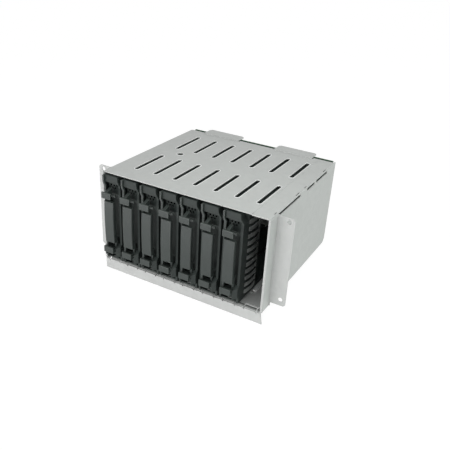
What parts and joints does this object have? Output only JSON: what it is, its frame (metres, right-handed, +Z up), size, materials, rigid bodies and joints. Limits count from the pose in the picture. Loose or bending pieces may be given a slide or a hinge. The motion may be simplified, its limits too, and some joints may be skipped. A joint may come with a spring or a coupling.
{
  "type": "hot swap drive cage",
  "caption": "Sheet-metal cage with eight upright bays for small drives; seven hold black carriers with a latch and a swing-out lever, one is open.",
  "frame": {"origin": "centre of the four ear screw holes, in the plane of the ears' rear seating faces", "axes": "+X to the right seen from the front, +Y to the back of the cage, +Z up; carriers slide out along -Y"},
  "size_m": [0.1792, 0.1596, 0.0917],
  "materials": {
    "sheet_steel": "galvanised, satin",
    "guide_steel": "galvanised, satin",
    "rivet_steel": "plated, satin",
    "spring_steel": "bright spring strip",
    "carrier_plastic": "moulded, fine grain",
    "lever_plastic": "moulded, satin",
    "circuit_board": "solder mask, satin",
    "connector_plastic": "moulded, matt",
    "connector_shell": "stamped shell"
  },
  "bodies": {
    "cage": {"top_cover": "sheet_steel", "left_side_panel": "sheet_steel", "right_side_panel": "sheet_steel", "left_ear": "sheet_steel", "right_ear": "sheet_steel", "floor_panel": "sheet_steel", "lower_guides": "guide_steel", "upper_guides": "guide_steel", "guide_rivets": "rivet_steel", "rear_panel": "sheet_steel", "backplane": "circuit_board", "backplane_screws": "rivet_steel", "drive_sockets": "connector_plastic", "data_connectors": "connector_shell", "power_connector": "connector_plastic"},
    "carrier_1": {"carrier_1": "carrier_plastic", "lever_pin_1": "rivet_steel", "emi_spring_1": "spring_steel"},
    "lever_1": {"lever_1": "lever_plastic"},
    "latch_1": {"latch_1": "lever_plastic"},
    "carrier_2": {"carrier_2": "carrier_plastic", "lever_pin_2": "rivet_steel", "emi_spring_2": "spring_steel"},
    "lever_2": {"lever_2": "lever_plastic"},
    "latch_2": {"latch_2": "lever_plastic"},
    "carrier_3": {"carrier_3": "carrier_plastic", "lever_pin_3": "rivet_steel", "emi_spring_3": "spring_steel"},
    "lever_3": {"lever_3": "lever_plastic"},
    "latch_3": {"latch_3": "lever_plastic"},
    "carrier_4": {"carrier_4": "carrier_plastic", "lever_pin_4": "rivet_steel", "emi_spring_4": "spring_steel"},
    "lever_4": {"lever_4": "lever_plastic"},
    "latch_4": {"latch_4": "lever_plastic"},
    "carrier_5": {"carrier_5": "carrier_plastic", "lever_pin_5": "rivet_steel", "emi_spring_5": "spring_steel"},
    "lever_5": {"lever_5": "lever_plastic"},
    "latch_5": {"latch_5": "lever_plastic"},
    "carrier_6": {"carrier_6": "carrier_plastic", "lever_pin_6": "rivet_steel", "emi_spring_6": "spring_steel"},
    "lever_6": {"lever_6": "lever_plastic"},
    "latch_6": {"latch_6": "lever_plastic"},
    "carrier_7": {"carrier_7": "carrier_plastic", "lever_pin_7": "rivet_steel", "emi_spring_7": "spring_steel"},
    "lever_7": {"lever_7": "lever_plastic"},
    "latch_7": {"latch_7": "lever_plastic"}
  },
  "joints": [
    {"name": "carrier_1_slide", "type": "slide", "parent": "cage", "child": "carrier_1", "axis": [0, -1, 0], "range_m": [0, 0.15]},
    {"name": "lever_1_hinge", "type": "hinge", "parent": "carrier_1", "child": "lever_1", "pos_m": [-0.06587, -0.0162, -0.0295], "axis": [1, 0, 0], "range_deg": [0, 60]},
    {"name": "latch_1_travel", "type": "slide", "parent": "carrier_1", "child": "latch_1", "axis": [0, 0, 1], "range_m": [0, 0.0018], "stiffness_N_per_m": 900},
    {"name": "carrier_2_slide", "type": "slide", "parent": "cage", "child": "carrier_2", "axis": [0, -1, 0], "range_m": [0, 0.15]},
    {"name": "lever_2_hinge", "type": "hinge", "parent": "carrier_2", "child": "lever_2", "pos_m": [-0.04705, -0.0162, -0.0295], "axis": [1, 0, 0], "range_deg": [0, 60]},
    {"name": "latch_2_travel", "type": "slide", "parent": "carrier_2", "child": "latch_2", "axis": [0, 0, 1], "range_m": [0, 0.0018], "stiffness_N_per_m": 900},
    {"name": "carrier_3_slide", "type": "slide", "parent": "cage", "child": "carrier_3", "axis": [0, -1, 0], "range_m": [0, 0.15]},
    {"name": "lever_3_hinge", "type": "hinge", "parent": "carrier_3", "child": "lever_3", "pos_m": [-0.02823, -0.0162, -0.0295], "axis": [1, 0, 0], "range_deg": [0, 60]},
    {"name": "latch_3_travel", "type": "slide", "parent": "carrier_3", "child": "latch_3", "axis": [0, 0, 1], "range_m": [0, 0.0018], "stiffness_N_per_m": 900},
    {"name": "carrier_4_slide", "type": "slide", "parent": "cage", "child": "carrier_4", "axis": [0, -1, 0], "range_m": [0, 0.15]},
    {"name": "lever_4_hinge", "type": "hinge", "parent": "carrier_4", "child": "lever_4", "pos_m": [-0.00941, -0.0162, -0.0295], "axis": [1, 0, 0], "range_deg": [0, 60]},
    {"name": "latch_4_travel", "type": "slide", "parent": "carrier_4", "child": "latch_4", "axis": [0, 0, 1], "range_m": [0, 0.0018], "stiffness_N_per_m": 900},
    {"name": "carrier_5_slide", "type": "slide", "parent": "cage", "child": "carrier_5", "axis": [0, -1, 0], "range_m": [0, 0.15]},
    {"name": "lever_5_hinge", "type": "hinge", "parent": "carrier_5", "child": "lever_5", "pos_m": [0.00941, -0.0162, -0.0295], "axis": [1, 0, 0], "range_deg": [0, 60]},
    {"name": "latch_5_travel", "type": "slide", "parent": "carrier_5", "child": "latch_5", "axis": [0, 0, 1], "range_m": [0, 0.0018], "stiffness_N_per_m": 900},
    {"name": "carrier_6_slide", "type": "slide", "parent": "cage", "child": "carrier_6", "axis": [0, -1, 0], "range_m": [0, 0.15]},
    {"name": "lever_6_hinge", "type": "hinge", "parent": "carrier_6", "child": "lever_6", "pos_m": [0.02823, -0.0162, -0.0295], "axis": [1, 0, 0], "range_deg": [0, 60]},
    {"name": "latch_6_travel", "type": "slide", "parent": "carrier_6", "child": "latch_6", "axis": [0, 0, 1], "range_m": [0, 0.0018], "stiffness_N_per_m": 900},
    {"name": "carrier_7_slide", "type": "slide", "parent": "cage", "child": "carrier_7", "axis": [0, -1, 0], "range_m": [0, 0.15]},
    {"name": "lever_7_hinge", "type": "hinge", "parent": "carrier_7", "child": "lever_7", "pos_m": [0.04705, -0.0162, -0.0295], "axis": [1, 0, 0], "range_deg": [0, 60]},
    {"name": "latch_7_travel", "type": "slide", "parent": "carrier_7", "child": "latch_7", "axis": [0, 0, 1], "range_m": [0, 0.0018], "stiffness_N_per_m": 900}
  ]
}
